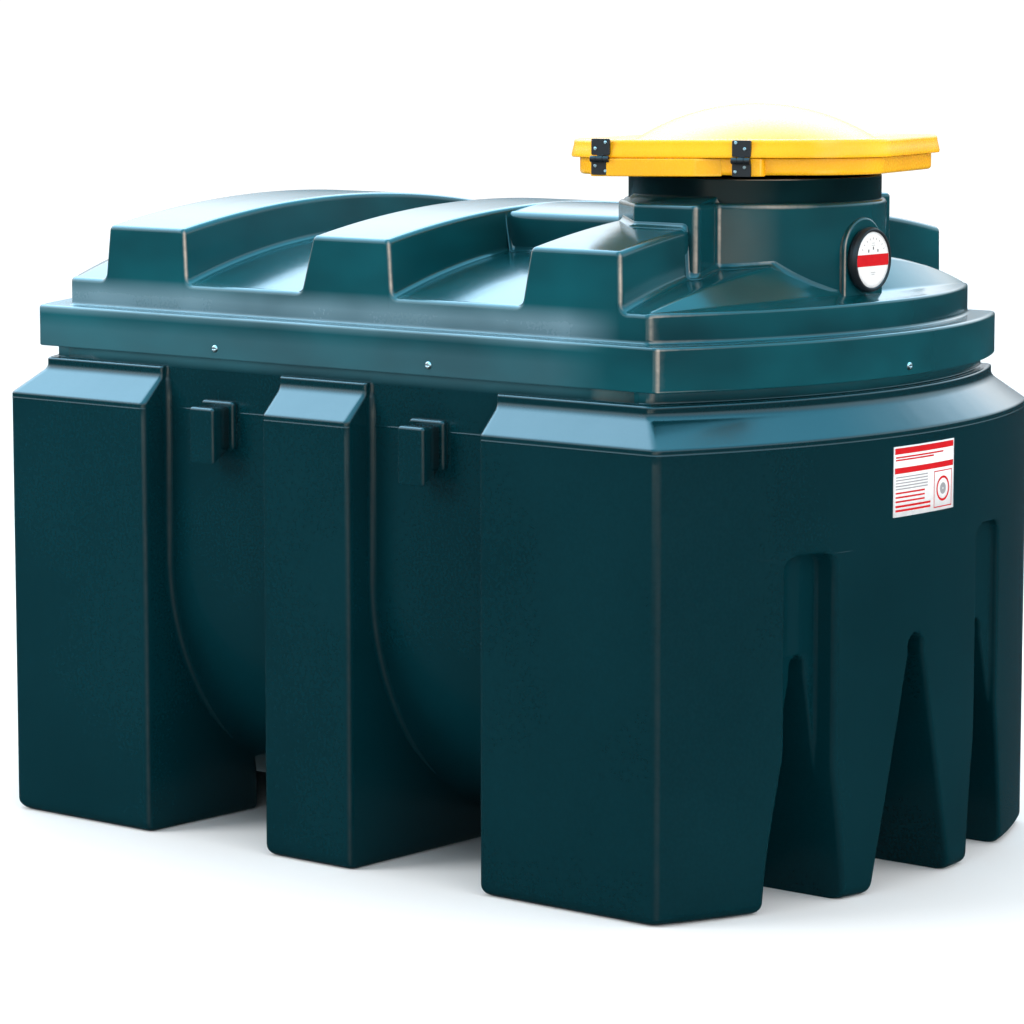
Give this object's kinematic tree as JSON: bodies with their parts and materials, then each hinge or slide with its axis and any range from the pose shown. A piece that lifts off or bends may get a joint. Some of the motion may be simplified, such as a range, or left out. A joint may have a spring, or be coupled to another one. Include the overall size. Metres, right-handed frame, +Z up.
{
  "type": "bunded storage tank",
  "caption": "Low moulded plastic oil tank in a double-skinned bund on hollow feet, with cross ribs, a round gauge and a hinged square lid over its filling neck.",
  "frame": {"origin": "on the ground, under the middle of the tank's overall length and width", "axes": "+X along the tank towards the gauge end, +Y across it towards the back, +Z up"},
  "size_m": [1.963, 1.22, 1.4649],
  "materials": {
    "green_plastic": "satin moulded polyethylene, dark blue-green",
    "yellow_plastic": "satin moulded polyethylene, warm yellow",
    "black_plastic": "fine-grained black plastic",
    "dial_white": "printed dial, white with a red band"
  },
  "bodies": {
    "tank": {"back_cross_rib_gauge": "green_plastic", "back_far_lug": "green_plastic", "back_gauge_lug": "green_plastic", "back_middle_foot": "green_plastic", "back_wall": "green_plastic", "belly_floor": "green_plastic", "cross_rib_far": "green_plastic", "cross_rib_middle": "green_plastic", "deck": "green_plastic", "far_end_back_corner": "green_plastic", "far_end_back_leg": "green_plastic", "far_end_front_corner": "green_plastic", "far_end_front_leg": "green_plastic", "far_end_panel": "green_plastic", "far_end_plate": "green_plastic", "filling_tray": "yellow_plastic", "front_cross_rib_gauge": "green_plastic", "front_far_lug": "green_plastic", "front_gauge_lug": "green_plastic", "front_middle_foot": "green_plastic", "front_wall": "green_plastic", "gauge_bezel": "black_plastic", "gauge_boss": "green_plastic", "gauge_dial": "dial_white", "gauge_end_back_corner": "green_plastic", "gauge_end_back_leg": "green_plastic", "gauge_end_front_corner": "green_plastic", "gauge_end_front_leg": "green_plastic", "gauge_end_panel": "green_plastic", "gauge_end_plate": "green_plastic", "hinge_1_lower": "black_plastic", "hinge_2_lower": "black_plastic", "neck": "green_plastic", "neck_collar": "green_plastic", "rim_skirt": "green_plastic", "spine_block": "green_plastic"},
    "lid": {"lid": "yellow_plastic", "hinge_1_upper": "black_plastic", "hinge_2_upper": "black_plastic"}
  },
  "joints": [
    {"name": "lid_hinge", "type": "hinge", "parent": "tank", "child": "lid", "pos_m": [0.70234, -0.29421, 1.3665], "axis": [0.9415, 0.3371, 0], "range_deg": [0, 105]}
  ]
}
